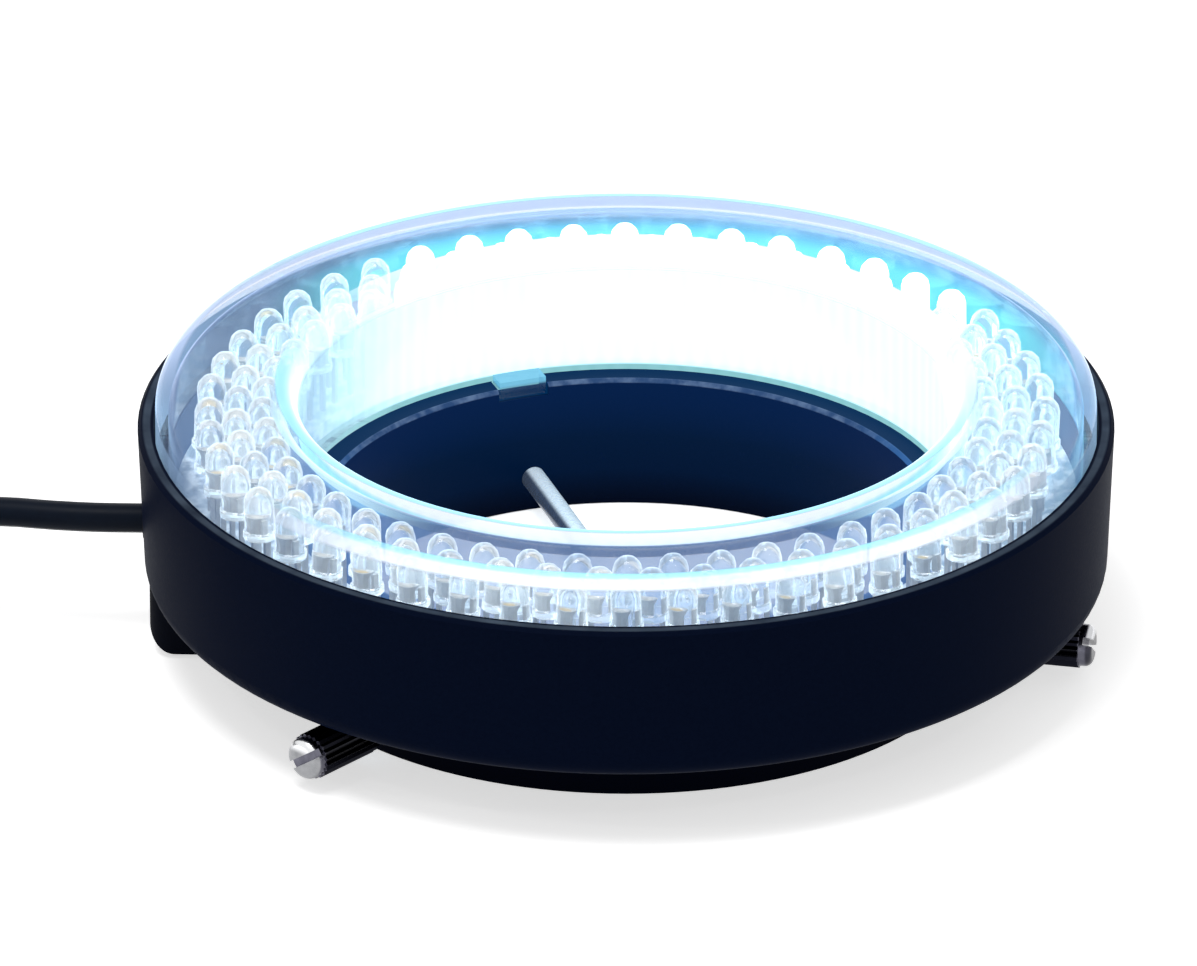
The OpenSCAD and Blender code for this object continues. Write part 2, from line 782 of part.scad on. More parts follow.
// Groove round the connector's axis, down to a radius
module groove(r, z, w) {
    ring(r, plug_d, z - w / 2, w);
}

module plug_boot() {
    boot_step = boot_l / (boot_grooves + 1);
    boot_taper = (boot_root_d - boot_tip_d) / 2 / boot_l;
    color([0.07, 0.07, 0.08])
        on_plug(boot_x) {
            difference() {
                cylinder(d1 = boot_tip_d, d2 = boot_root_d, h = boot_l, $fn = 48);
                for (i = [1 : boot_grooves])
                    let (z = i * boot_step)
                        groove(boot_tip_d / 2 + boot_taper * z - groove_depth, z, boot_groove_w);
            }
            translate([0, 0, boot_l])
                difference() {
                    rotate_extrude($fn = 64) {
                        span([0, 0], [plug_d / 2 - plug_edge_r, plug_l]);
                        span([0, plug_edge_r], [plug_d / 2, plug_l - plug_edge_r]);
                        for (z = [plug_edge_r, plug_l - plug_edge_r])
                            translate([plug_d / 2 - plug_edge_r, z]) circle(r = plug_edge_r);
                    }
                    for (i = [1 : grip_grooves])
                        groove(plug_d / 2 - groove_depth, i * grip_step, grip_groove_w);
                }
        }
}

module plug_shell() {
    color([0.72, 0.73, 0.75])
        on_plug(shell_x)
            difference() {
                cylinder(d = shell_d, h = shell_l, $fn = 64);
                translate([0, 0, -cut])
                    cylinder(d = shell_d - 2 * shell_t, h = shell_l + 2 * cut, $fn = 64);
            }
}

module plug_insert() {
    color([0.05, 0.05, 0.05])
        on_plug(shell_x)
            difference() {
                cylinder(d = shell_d - 2 * shell_t - 2 * insert_fit, h = shell_l - insert_depth, $fn = 64);
                at_pins()
                    translate([0, 0, -cut])
                        cylinder(d = pin_d + 2 * insert_fit, h = shell_l + 2 * cut, $fn = 24);
            }
}

module at_pins() {
    for (i = [0 : wire_count - 1])
        rotate([0, 0, i * 360 / wire_count])
            translate([pin_circle_d / 2, 0, 0])
                children();
}

module plug_pins() {
    color([0.8, 0.68, 0.35])
        on_plug(shell_x)
            at_pins()
                cylinder(d = pin_d, h = shell_l - pin_inset, $fn = 24);
}

echo(coil_gap = coil_gap);
echo(cord_length = path_length(lead_path) + path_length(coil_path) + path_length(tail_path));

mount_collar();
housing();
board_standoffs();
floor_screws();
led_board();
board_resistors();
led_leads();
led_zone(0, [0.9, 0.98, 1]);  // led_zone_back
led_zone(1, [0.85, 0.88, 0.92]);  // led_zone_left
led_zone(2, [0.85, 0.88, 0.92]);  // led_zone_front
led_zone(3, [0.85, 0.88, 0.92]);  // led_zone_right
clear_cover();
clamp_stud(0);  // clamp_stud_1
clamp_stud(1);  // clamp_stud_2
clamp_stud(2);  // clamp_stud_3
thumb_head(0);  // thumb_head_1
thumb_head(1);  // thumb_head_2
thumb_head(2);  // thumb_head_3
terminal_box();
box_screws();
cord_bush();
supply_wires();
cord_lead();
cord_coil();
cord_tail();
coil_tie();
plug_boot();
plug_shell();
plug_insert();
plug_pins();
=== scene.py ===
import math
import random

import bmesh
import bpy
from mathutils import Matrix, Vector


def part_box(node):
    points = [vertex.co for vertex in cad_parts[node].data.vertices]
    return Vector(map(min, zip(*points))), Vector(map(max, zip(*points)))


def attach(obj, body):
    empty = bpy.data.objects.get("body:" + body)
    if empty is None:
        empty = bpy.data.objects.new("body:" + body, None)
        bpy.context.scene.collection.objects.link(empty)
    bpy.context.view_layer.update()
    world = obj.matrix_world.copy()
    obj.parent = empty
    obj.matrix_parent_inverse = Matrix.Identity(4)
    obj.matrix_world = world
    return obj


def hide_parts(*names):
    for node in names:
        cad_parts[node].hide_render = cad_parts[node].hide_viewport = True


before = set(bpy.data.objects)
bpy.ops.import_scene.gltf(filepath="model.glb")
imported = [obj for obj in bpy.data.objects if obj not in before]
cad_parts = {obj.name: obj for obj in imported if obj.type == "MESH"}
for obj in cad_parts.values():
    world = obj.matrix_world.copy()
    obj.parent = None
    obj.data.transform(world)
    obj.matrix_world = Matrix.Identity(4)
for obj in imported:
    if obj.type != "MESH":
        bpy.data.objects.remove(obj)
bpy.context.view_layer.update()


# Studio: a pale sheet under the light, one large soft lamp above it, and two small lamps that leave the
# bright spots on the domes. The camera stands where the photograph was taken, 25.6 degrees above the
# table, far off with a long lens.

class Paint:
    """One socket of a node tree. Sums and products of sockets add Math nodes to the tree."""

    def __init__(self, tree, socket=None):
        self.tree, self.socket = tree, socket

    def node(self, kind, settings=(), inputs=(), output=0):
        """A new node: its settings are made first, and then its sockets get their values or links."""
        made = self.tree.nodes.new(kind)
        for name, value in dict(settings).items():
            if name == "stops":
                stops = made.color_ramp.elements
                while len(stops) < len(value):
                    stops.new(1)
                for stop, (place, colour) in zip(stops, value):
                    stop.position, stop.color = place, colour
            else:
                setattr(made, name, value)
        for name, value in dict(inputs).items():
            if isinstance(value, Paint):
                self.tree.links.new(value.socket, made.inputs[name])
            else:
                made.inputs[name].default_value = value
        return Paint(self.tree, made.outputs[output] if len(made.outputs) else None)

    def out(self, name):
        return Paint(self.tree, self.socket.node.outputs[name])

    def math(self, operation, *values):
        return self.node("ShaderNodeMath", {"operation": operation}, enumerate(values))

    def __add__(self, other):
        return self.math("ADD", self, other)

    def __sub__(self, other):
        return self.math("SUBTRACT", self, other)

    def __rsub__(self, other):
        return self.math("SUBTRACT", other, self)

    def __mul__(self, other):
        return self.math("MULTIPLY", self, other)

    def __mod__(self, other):
        return self.math("FLOORED_MODULO", self, other)

    def __pow__(self, other):
        return self.math("POWER", self, other)

    def __abs__(self):
        return self.math("ABSOLUTE", self)

    __radd__ = __add__
    __rmul__ = __mul__

    def top(self, other):
        return self.math("MAXIMUM", self, other)

    def rise(self, start, end):
        """0 before start, 1 after end, and a smooth slope between; start may be the larger."""
        return self.node("ShaderNodeMapRange", {"interpolation_type": "SMOOTHSTEP"},
                         {"Value": self, "From Min": start, "From Max": end})

    def ramp(self, *stops):
        return self.node("ShaderNodeValToRGB", {"stops": stops}, {"Fac": self})

    def mix(self, low, high):
        """The colour low where this mask is 0, and high where it is 1."""
        return self.node("ShaderNodeMix", {"data_type": "RGBA"}, {0: self, 6: low, 7: high}, 2)

    def seen(self):
        """1 on what the camera sees straight, mirrored or through glass, and 0 for other light."""
        path = self.node("ShaderNodeLightPath")
        mirrored, through = path.out("Is Glossy Ray"), path.out("Is Transmission Ray")
        return path.out("Is Camera Ray").top(mirrored).top(through)

    def shade(self, inputs):
        """The material's surface: a Principled shader with these sockets."""
        self.node("ShaderNodeOutputMaterial",
                  inputs={"Surface": self.node("ShaderNodeBsdfPrincipled", inputs=inputs)})


def new_paint(name):
    made = bpy.data.materials.new(name)
    made.use_nodes = True
    made.node_tree.nodes.clear()
    return made, Paint(made.node_tree)


def tone(*screen):
    """A colour as picked on a screen, 0 to 255, in the linear steps that a shader takes."""
    return [*(((c / 255 + 0.055) / 1.055) ** 2.4 if c > 10 else c / 255 / 12.92 for c in screen), 1]


def aim(item, place, target):
    item.location = place
    item.rotation_euler = (Vector(target) - Vector(place)).to_track_quat("-Z", "Y").to_euler()
    bpy.context.scene.collection.objects.link(item)


unlit, white = (0, 0, 0, 1), (1, 1, 1, 1)
floor_r, floor_drop = 3, 0.0001
sheet = bmesh.new()
bmesh.ops.create_circle(sheet, cap_ends=True, segments=96, radius=floor_r)
bmesh.ops.translate(sheet, vec=(0, 0, -floor_drop), verts=sheet.verts)
floor_mesh = bpy.data.meshes.new("floor")
sheet.to_mesh(floor_mesh)
floor = bpy.data.objects.new("floor", floor_mesh)
bpy.context.scene.collection.objects.link(floor)
pale_paper, paint = new_paint("pale_paper")
paint.shade({
    "Base Color": (0.9, 0.9, 0.9, 1), "Roughness": 1, "Specular IOR Level": 0,
    "Emission Color": paint.seen().mix(unlit, (0.62, 0.62, 0.62, 1)), "Emission Strength": 1})
floor_mesh.materials.append(pale_paper)

air_light = 0.45
studio = bpy.data.worlds.new("studio")
studio.use_nodes = True
studio.node_tree.nodes.clear()
bpy.context.scene.world = studio
paint = Paint(studio.node_tree)
air = paint.node("ShaderNodeBackground", inputs={
    "Color": white, "Strength": air_light + (1 - air_light) * paint.seen()})
paint.node("ShaderNodeOutputWorld", inputs={"Surface": air})

middle = (-0.002761, 0, 0.016823)
for name, watts, size, place in (
        ("soft_lamp", 5.5, 0.45, (-0.2, -0.2, 1.1)),
        ("spark_left", 0.25, 0.06, (-0.5, -0.5, 0.8)),
        ("spark_right", 0.25, 0.06, (0.35, -0.7, 0.7))):
    lamp = bpy.data.lights.new(name, "AREA")
    lamp.energy, lamp.size = watts, size
    aim(bpy.data.objects.new(name, lamp), place, middle)

view = bpy.data.cameras.new("camera")
view.lens, view.sensor_width, view.sensor_fit = 448.9, 36, "HORIZONTAL"
view.clip_end = 20
camera = bpy.data.objects.new("camera", view)
reach, climb = 1.5, math.radians(25.588)
aim(camera, (middle[0], -reach * math.cos(climb), middle[2] + reach * math.sin(climb)), middle)
bpy.context.scene.camera = camera
bpy.context.scene.view_settings.view_transform = "Standard"


# Mount collar: the black ring that goes over the microscope's head, turned from aluminium bar and
# anodised. Its thin sleeve stands up through the housing. The blue of the lamps' light is painted on it
# as
# emission: up the bore's wall, on the ledge on top, where the cover stands, and as a glint on the ledge's
# cut edge, whose base colour is painted lighter as a highlight.

def dress(finish, *names):
    for name in names:
        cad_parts[name].data.materials.clear()
        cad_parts[name].data.materials.append(finish)


def stations(paint):
    """Distance from the ring's axis in mm, angle round it in degrees, and height in mm."""
    point = paint.node("ShaderNodeTexCoord", output="Object")
    axes = paint.node("ShaderNodeSeparateXYZ", inputs={"Vector": point})
    x, y, z = (axes.out(axis) * 1000 for axis in "XYZ")
    return (x * x + y * y) ** 0.5, paint.math("ARCTAN2", y, x) * math.degrees(1), z


def near(angle, centre, far, close):
    """1 within close degrees of a centre angle round the ring, and 0 beyond far degrees."""
    return abs(angle - centre).rise(far, close)


def grain(paint, per_mm, detail=2):
    """Noise with a number of grains in each mm, in the piece's own frame."""
    point = paint.node("ShaderNodeTexCoord", output="Object")
    return paint.node("ShaderNodeTexNoise", inputs={
        "Vector": point, "Scale": per_mm * 1000, "Detail": detail})


def bump(paint, height, depth_mm):
    return paint.node("ShaderNodeBump", inputs={
        "Height": height, "Distance": depth_mm / 1000, "Strength": 1})


bore_r, ledge_z, ledge_chamfer, notch_z = 30.5, 14, 0.3, 12.5
black_collar, paint = new_paint("black_collar")
radius, angle, height = stations(paint)
speckle = grain(paint, 3)
in_bore = radius.rise(bore_r + 0.3, bore_r + 0.1)
notch = height.rise(notch_z - 0.1, notch_z + 0.1) * radius.rise(bore_r + 0.2, bore_r + 0.4)
ledge = height.rise(ledge_z - 0.2, ledge_z - 0.05).top(notch)
# Painted light: the bore's wall glows navy, brighter towards the top; the ledge and notches glow blue;
# the cut edge has a painted glint.
off_chamfer = abs(radius - height - (bore_r + ledge_chamfer - ledge_z))
cut_edge = off_chamfer.rise(0.16, 0.06) * height.rise(ledge_z - 0.5, ledge_z - ledge_chamfer)
glow = (in_bore * height.rise(-2, ledge_z)).ramp(
    (0, unlit), (0.3, tone(0, 19, 46)), (0.65, tone(1, 23, 52)), (1, tone(3, 30, 70)))
glint = grain(paint, 0.7, 4).rise(0.35, 0.75).mix(tone(20, 50, 92), tone(86, 108, 140))
glint = near(angle, 95, 80, 50).mix(tone(30, 88, 150), glint)
paint.shade({
    "Base Color": cut_edge.mix(speckle.mix(tone(1, 4, 17), tone(3, 8, 26)), tone(42, 56, 78)),
    "Roughness": 0.34 + 0.12 * speckle, "Specular IOR Level": 0.015,
    "Emission Color": cut_edge.mix(ledge.mix(glow, tone(2, 42, 82)), glint), "Emission Strength": 1,
    "Normal": bump(paint, grain(paint, 6), 0.01)})
dress(black_collar, "mount_collar")


# Housing: the black drum under the lamps, moulded with a slight draft and a fine satin grain. Its floor
# takes the screws of the board, and its rim holds the cover, with a painted highlight along the rim's
# edge.
# Behind the cover its wall is painted pale, with the lamps' light on it painted as emission.

rim_r, rim_z, seat_r = 47.4, 24, 45.8
black_satin, paint = new_paint("black_satin")
radius, _, height = stations(paint)
speckle = grain(paint, 2.5, 4)
rim_edge = radius.rise(rim_r + 0.2, rim_r + 0.4) * radius.rise(rim_r + 1.2, rim_r + 0.9)
# Painted highlight: a paler, grainy line along the upper edge of the rim.
rim_highlight = height.rise(rim_z - 0.3, rim_z - 0.05) * rim_edge * grain(paint, 0.25)
satin = rim_highlight.mix(speckle.mix(tone(5, 12, 31), tone(9, 18, 38)), tone(82, 95, 110))
# Painted light: the wall behind the cover is pale and glows with the lamps' light.
inside = radius.rise(seat_r + 0.3, seat_r + 0.1) * height.rise(ledge_z - 1, ledge_z + 1)
paint.shade({
    "Base Color": inside.mix(satin, tone(110, 126, 150)),
    "Roughness": 0.4 + 0.14 * speckle, "Specular IOR Level": 0.007,
    "Emission Color": inside.mix(unlit, tone(72, 92, 118)), "Emission Strength": 1,
    "Normal": bump(paint, grain(paint, 4, 3), 0.012)})
dress(black_satin, "housing")


# Terminal box: a small black moulding under the floor, on the cord's side, where the cord's conductors
# are joined. Two plated screws go up through its posts, and four more hold the board's standoffs to the
# floor.

black_moulding, paint = new_paint("black_moulding")
speckle = grain(paint, 2, 4)
paint.shade({
    "Base Color": speckle.mix(tone(2, 4, 12), tone(8, 12, 24)), "Roughness": 0.5 + 0.2 * speckle,
    "Specular IOR Level": 0.03, "Normal": bump(paint, grain(paint, 3, 3), 0.02)})
dress(black_moulding, "terminal_box")

zinc_plate, paint = new_paint("zinc_plate")
speckle = grain(paint, 1.5, 5)
paint.shade({
    "Base Color": speckle.mix(tone(150, 152, 158), tone(205, 206, 208)), "Metallic": 1,
    "Roughness": 0.2 + 0.25 * speckle, "Normal": bump(paint, grain(paint, 8), 0.005)})
dress(zinc_plate, "floor_screws", "box_screws")


# Board and standoffs: a ring of white-masked board on four six-sided brass standoffs. The lamps are
# soldered into it in four quarters, and forty-eight chip resistors sit on its lower side.

turned_brass, paint = new_paint("turned_brass")
speckle = grain(paint, 1.2, 4)
paint.shade({
    "Base Color": speckle.mix(tone(176, 138, 72), tone(222, 190, 118)), "Metallic": 1,
    "Roughness": 0.2 + 0.2 * speckle, "Normal": bump(paint, grain(paint, 6), 0.004)})
dress(turned_brass, "board_standoffs", "plug_pins")

lit_angle, track_r, track_step = 80, 34.9, 1.4
white_mask, paint = new_paint("white_mask")
radius, angle, _ = stations(paint)
track = abs((radius - track_r) % track_step - track_step / 2).rise(0.5, 0.45)
# Painted light: the board glows in patches, bluer and brighter near the lit quarter, as lamplight in the
# channel.
spot = grain(paint, 0.7, 3).rise(0.42, 0.62)
dim_spots = spot.mix((0.2, 0.28, 0.37, 1), (0.58, 0.7, 0.8, 1))
lit_spots = spot.mix((0.3, 0.55, 0.68, 1), (0.75, 0.95, 1, 1))
paint.shade({
    "Base Color": track.mix(tone(158, 174, 190), tone(180, 196, 210)), "Roughness": 0.3,
    "Emission Color": near(angle, lit_angle, 98, 40).mix(dim_spots, lit_spots), "Emission Strength": 1,
    "Normal": bump(paint, track, 0.03)})
dress(white_mask, "led_board")

chip_start, chip_step, chip_body = 30, 7.5, 0.62
chip_ends, paint = new_paint("chip_ends")
radius, angle, _ = stations(paint)
off_middle = abs((angle + (360 - chip_start)) % chip_step - chip_step / 2)
tinned = (off_middle * radius * math.radians(1)).rise(chip_body, chip_body + 0.04)
paint.shade({
    "Base Color": tinned.mix(tone(22, 22, 25), tone(196, 197, 200)), "Metallic": tinned,
    "Roughness": 0.5 - 0.2 * tinned})
dress(chip_ends, "board_resistors")


# Lamps: 144 clear epoxy lamps of 3 mm in three rings, on tinned legs that hold them above the board. Each
# was pushed in by hand, so each leans a little. Inside, one leg ends in a cup with the coated chip, the
# other in a post. The quarter at the back is switched on; the other lamps have a painted glow and painted
# bright rims.

quarters, quarter_start, quarter_lamps = ("back", "left", "front", "right"), 37.5, 12
lamp_z, lamp_rings, lamp_step, most_lean = 21.0, (36.3, 39.1, 41.9), 7.5, 2.4
hand = random.Random(4)
quarter_places = []
for number in range(len(quarters)):
    places = []
    for ring, ring_r in enumerate(lamp_rings):
        for i in range(quarter_lamps):
            at = math.radians(quarter_start + number * 90 + (i + ring % 2 / 2) * lamp_step)
            lean = Matrix.Rotation(math.radians(hand.uniform(-most_lean, most_lean)), 4, "X")
            lean = lean @ Matrix.Rotation(math.radians(hand.uniform(-most_lean, most_lean)), 4, "Y")
            stand = Matrix.Translation(Vector((ring_r, 0, lamp_z)) / 1000)
            places.append(Matrix.Rotation(at, 4, "Z") @ stand @ lean)
    quarter_places.append(places)
all_places = sum(quarter_places, [])


def turned(corners, steps):
    """A closed shape turned round Z from the (radius, height, rounding) corners of its outline, in mm."""
    shape = bmesh.new()
    points = [shape.verts.new((r / 1000, 0, z / 1000)) for r, z, _ in corners]
    for start, end in zip(points, points[1:]):
        shape.edges.new((start, end))
    for point, (_, _, soft) in zip(points, corners):
        if soft:
            bmesh.ops.bevel(shape, geom=[point], offset=soft / 1000, affect="VERTICES", segments=3,
                            profile=0.5, material=-1)
    bmesh.ops.spin(shape, geom=shape.verts[:] + shape.edges[:], axis=(0, 0, 1), cent=(0, 0, 0),
                   angle=2 * math.pi, steps=steps, use_merge=True)
    bmesh.ops.remove_doubles(shape, verts=shape.verts, dist=1e-6)
    bmesh.ops.holes_fill(shape, edges=[e for e in shape.edges if e.is_boundary], sides=0)
    bmesh.ops.recalc_face_normals(shape, faces=shape.faces)
    return shape


def set_out(shape, places):
    """Copies of a small shape at many places in one mesh, each with its own number from 0 to 1."""
    one = bpy.data.meshes.new("one")
    shape.to_mesh(one)
    field = bmesh.new()
    cast = field.verts.layers.float.new("cast")
    for place in places:
        start = len(field.verts)
        field.from_mesh(one)
        field.verts.ensure_lookup_table()
        bmesh.ops.transform(field, matrix=place, verts=field.verts[start:])
        share = hand.random()
        for vert in field.verts[start:]:
            vert[cast] = share
    bpy.data.meshes.remove(one)
    return field


def own_number(paint):
    """The number that set_out gave to each copy."""
    return paint.node("ShaderNodeAttribute", {"attribute_name": "cast"}, output="Fac")


def grazing(paint):
    """0 where a surface is seen straight on, rising to 1 at its outline: gloss on the cover, a painted
    bright rim on the lamps.
    """
    return paint.node("ShaderNodeLayerWeight", inputs={"Blend": 0.5}, output="Facing")


def piece(name, shape, finish, body, replaced=()):
    """A finished piece, smooth where its faces meet at less than 40 degrees, riding on a body."""
    mesh = bpy.data.meshes.new(name)
    shape.to_mesh(mesh)
    shape.free()
    mesh.materials.append(finish)
    for face in mesh.polygons:
        face.use_smooth = True
    mesh.set_sharp_from_angle(angle=math.radians(40))
    made = bpy.data.objects.new(name, mesh)
    bpy.context.scene.collection.objects.link(made)
    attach(made, body)
    if replaced:
        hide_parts(*replaced)
    return made


tinned_wire, paint = new_paint("tinned_wire")
speckle = grain(paint, 2, 3)
paint.shade({
    "Base Color": speckle.mix(tone(204, 204, 206), tone(238, 237, 236)), "Metallic": 0.5,
    "Roughness": 0.35 + 0.2 * speckle})
dress(tinned_wire, "led_leads")

cup_steps, cup_place = 8, (0, -0.0004, 0)
post_size, post_place = (0.5, 0.4, 1.7), (0, 0.0008, 0.00125)
cup = turned(((0.5, 0.3, 0), (0.5, 1.5, 0), (0.75, 2.2, 0), (0.55, 2.2, 0), (0.3, 1.9, 0)), cup_steps)
bmesh.ops.translate(cup, vec=cup_place, verts=cup.verts)
post = bmesh.ops.create_cube(cup, size=0.001)["verts"]
bmesh.ops.scale(cup, vec=post_size, verts=post)
bmesh.ops.translate(cup, vec=post_place, verts=post)
piece("lamp_frames", set_out(cup, all_places), tinned_wire, "light")

chip_coat, paint = new_paint("chip_coat")
paint.shade({
    "Base Color": own_number(paint).rise(0.7, 1).mix(tone(220, 220, 218), tone(230, 208, 164)),
    "Roughness": 0.5 + 0.2 * grain(paint, 3, 3)})
coat = turned(((0.42, 2.1, 0), (0.28, 2.22, 0), (0, 2.26, 0)), cup_steps)
bmesh.ops.translate(coat, vec=cup_place, verts=coat.verts)
piece("lamp_chips", set_out(coat, all_places), chip_coat, "light")

clear_epoxy, paint = new_paint("clear_epoxy")
_, angle, height = stations(paint)
cast = own_number(paint)
dome = height.rise(lamp_z + 3.5, lamp_z + 5.2)
by_lit = near(angle, lit_angle, 105, 42)
# Painted light: a faint glow in each unlit lamp, bluer beside the lit quarter, and a painted bright rim
# where a dome is seen edge-on.
fill = by_lit.mix(cast.mix((0.04, 0.06, 0.08, 1), (0.12, 0.14, 0.15, 1)), (0.1, 0.18, 0.21, 1))
outline = 0.75 * grazing(paint) ** 3
paint.shade({
    "Base Color": (cast * dome).mix(tone(244, 250, 254), tone(248, 244, 234)),
    "Roughness": 0.01 + 0.05 * cast, "IOR": 1.5, "Transmission Weight": 1, "Alpha": 0.9,
    "Emission Color": outline.mix(fill, (0.68, 0.78, 0.84, 1)), "Emission Strength": 1})

lit_epoxy, paint = new_paint("lit_epoxy")
paint.shade({
    "Base Color": tone(236, 250, 255), "Roughness": 0.2,
    "Emission Color": (0.45, 0.85, 1, 1), "Emission Strength": 4})

bulb = turned((
    (1.7, 0, 0), (1.7, 0.7, 0), (1.5, 0.85, 0), (1.5, 3.8, 0), (1.33, 4.5, 0), (0.85, 5.05, 0),
    (0, 5.3, 0)), 12)
for quarter, places in zip(quarters, quarter_places):
    switched_on = quarter == "back"
    piece(f"lamps_{quarter}", set_out(bulb, places), lit_epoxy if switched_on else clear_epoxy, "light",
          [f"led_zone_{quarter}"])


# Clear cover: one channel of polished acrylic over the lamps, standing on the collar's ledge and in the
# housing's rim, with three lugs that key it to the collar. The light that its walls carry is painted on
# as emission, so its rounded edges glow all round, most beside the lit quarter, and its walls show
# painted refracted lamplight. Its base colour holds painted shade, nearly black on the lugs, and it is
# made more opaque where the painted light and shade are to show.

cover_bore, channel_r, round_r, cover_r = 33, 34.3, 44.8, 47.2
wall_top, roof_z, cover_top = 25.1, 26.9, 28.2
clear_acrylic, paint = new_paint("clear_acrylic")
radius, angle, height = stations(paint)
cloud_and_light_mottle = grain(paint, 0.35, 3).rise(0.35, 0.65)
way = angle * math.radians(1)
back = paint.math("SINE", way)
right = paint.math("COSINE", way).rise(-0.2, 0.6)
front, middle_front = back.rise(0.25, -0.25), back.rise(-0.55, -0.9)
lit = near(angle, 75, 105, 50)
clear_of_lamps = back.rise(0.35, 0).top(near(angle, 75, 75, 40))

lug = radius.rise(cover_bore, cover_bore - 0.1)
inner = radius.rise(channel_r + 0.6, channel_r + 0.2) * (1 - lug)
foot = inner * height.rise(ledge_z + 0.8, ledge_z + 0.5)
in_wall = inner * height.rise(wall_top + 0.4, wall_top)
wall_glow = in_wall * near(angle, 70, 102, 54)
deeper = 2.2 * front * (1 - middle_front)
bore_edge = radius.rise(channel_r - 0.05, channel_r - 0.15) * (height + deeper).rise(
    wall_top + 0.2, wall_top + 0.6)
in_edge = bore_edge.top(
    radius.rise(cover_bore + 2.4, cover_bore + 2) * height.rise(roof_z + 0.1, roof_z + 0.3))
corner = radius.rise(channel_r - 0.1, channel_r - 0.02) * radius.rise(channel_r + 1.5, channel_r + 1.4)
corner = corner * height.rise(wall_top - 0.05, wall_top + 0.1) * height.rise(roof_z + 0.1, roof_z + 0.05)
corner = corner * front

outer = radius.rise(round_r, round_r + 0.6)
skin = radius.rise(cover_r - 0.9, cover_r - 0.4)
out_wall = outer * height.rise(wall_top + 1.1, wall_top + 0.5)
side = out_wall * back.rise(-0.7, 0.1)
rim_glow = out_wall * height.rise(wall_top + 0.1, wall_top - 0.9) * near(angle, 77, 68, 40)
back_edge = outer * height.rise(wall_top + 0.5, wall_top + 1) * (1 - front)
out_edge = radius.rise(round_r - 0.8, round_r - 0.4) * height.rise(cover_top - 1, cover_top - 0.6)
out_edge = out_edge * near(angle, -83, 78, 30)
top_edge = radius.rise(round_r - 0.5, round_r) * height.rise(cover_top - 0.4, cover_top - 0.2)
top_edge = top_edge * near(angle, 88, 70, 35)

# Opacity, raised where the cover's painted light and shade are to show.
wall_opacity = 0.02 + in_wall * (0.35 + 0.15 * front) + 0.05 * out_wall + 0.58 * side
alpha = wall_opacity + 0.6 * grazing(paint) ** 4
for veil in (
        in_edge * (0.3 + 0.62 * clear_of_lamps), out_edge * (0.65 + 0.3 * cloud_and_light_mottle), 0.8 * back_edge,
        0.8 * top_edge, lug * (0.2 + 0.65 * height.rise(ledge_z - 0.1, ledge_z + 0.2)), 0.85 * foot,
        0.85 * corner, 0.95 * wall_glow, 0.85 * rim_glow):
    alpha = alpha.top(veil)

# Painted light as emission: refracted lamplight on the walls, and glowing bands on the edges, foot and
# lugs.
left_wall = cloud_and_light_mottle.mix(tone(80, 100, 126), tone(104, 124, 150))
right_wall = cloud_and_light_mottle.mix(tone(88, 150, 196), tone(128, 192, 222))
in_band = height.rise(wall_top + 0.2, cover_top).ramp(
    (0, (0.35, 0.8, 0.95, 1)), (0.12, (0.9, 1, 1, 1)), (0.7, white), (0.93, (0.7, 0.97, 1, 1)),
    (1, (0.2, 0.65, 0.95, 1)))
out_band = radius.rise(round_r - 0.8, cover_r - 0.6).ramp(
    (0, (0.22, 0.8, 0.92, 1)), (0.4, (0.4, 0.93, 1, 1)), (0.6, (0.92, 1, 1, 1)), (1, (0.96, 1, 1, 1)))
rim_band = height.rise(wall_top - 2.1, wall_top - 0.1).ramp(
    (0, (0.16, 0.88, 0.95, 1)), (1, (0.1, 0.4, 0.66, 1)))
# Painted on the lugs: the ledge's dark wall, its bright cut edge and the blue glow above, seen through
# them.
lug_band = height.rise(ledge_z - 0.6, ledge_z + 0.4).ramp(
    (0, tone(3, 28, 66)), (0.3, tone(70, 92, 128)), (0.55, tone(40, 92, 130)), (1, tone(100, 186, 222)))
shine = side.mix(unlit, skin.mix(right.mix(left_wall, right_wall), tone(134, 166, 194)))
for part, colour in (
        (in_wall, front.mix(tone(150, 185, 205), tone(60, 84, 112))),
        (in_edge, lit.mix(in_band, white)),
        (corner, middle_front.mix((0.62, 0.9, 1, 1), tone(38, 76, 126))),
        (out_edge, out_band),
        (back_edge, tone(168, 190, 228)),
        (top_edge, (0.3, 0.85, 0.9, 1)),
        (wall_glow, (0.9, 1.4, 1.5, 1)),
        (rim_glow, rim_band),
        (lug, lit.mix(tone(24, 48, 76), lug_band)),
        (foot * lit, tone(136, 198, 200))):
    shine = part.mix(shine, colour)

# Painted shade and light in the base colour: darker on sides, rims, corners and foot, near black on lugs,
# lighter in front.
tint_and_painted_shade = tone(112, 130, 170)
for part, colour in (
        (in_wall * front, tone(120, 156, 206)),
        (side * (1 - skin), tone(60, 74, 96)),
        (rim_glow, tone(6, 50, 80)),
        (corner.top(back_edge).top(foot), tone(46, 62, 92)),
        (lug, tone(2, 6, 20))):
    tint_and_painted_shade = part.mix(tint_and_painted_shade, colour)
paint.shade({
    "Base Color": tint_and_painted_shade, "Roughness": 0.08, "IOR": 1.49, "Alpha": paint.math("MINIMUM", alpha, 1),
    "Emission Color": shine, "Emission Strength": 1})
dress(clear_acrylic, "clear_cover")


# Thumb screws: three knurled screws through the collar clamp the microscope's head. The studs are drawn
# steel, with painted light on one side, painted shade on the other and a faint painted glow. The heads
# are turned, fluted and plated, dark on the flutes and lighter on their slotted ends, with a painted
# highlight on the upper part of each end; one end is painted darker than the others.

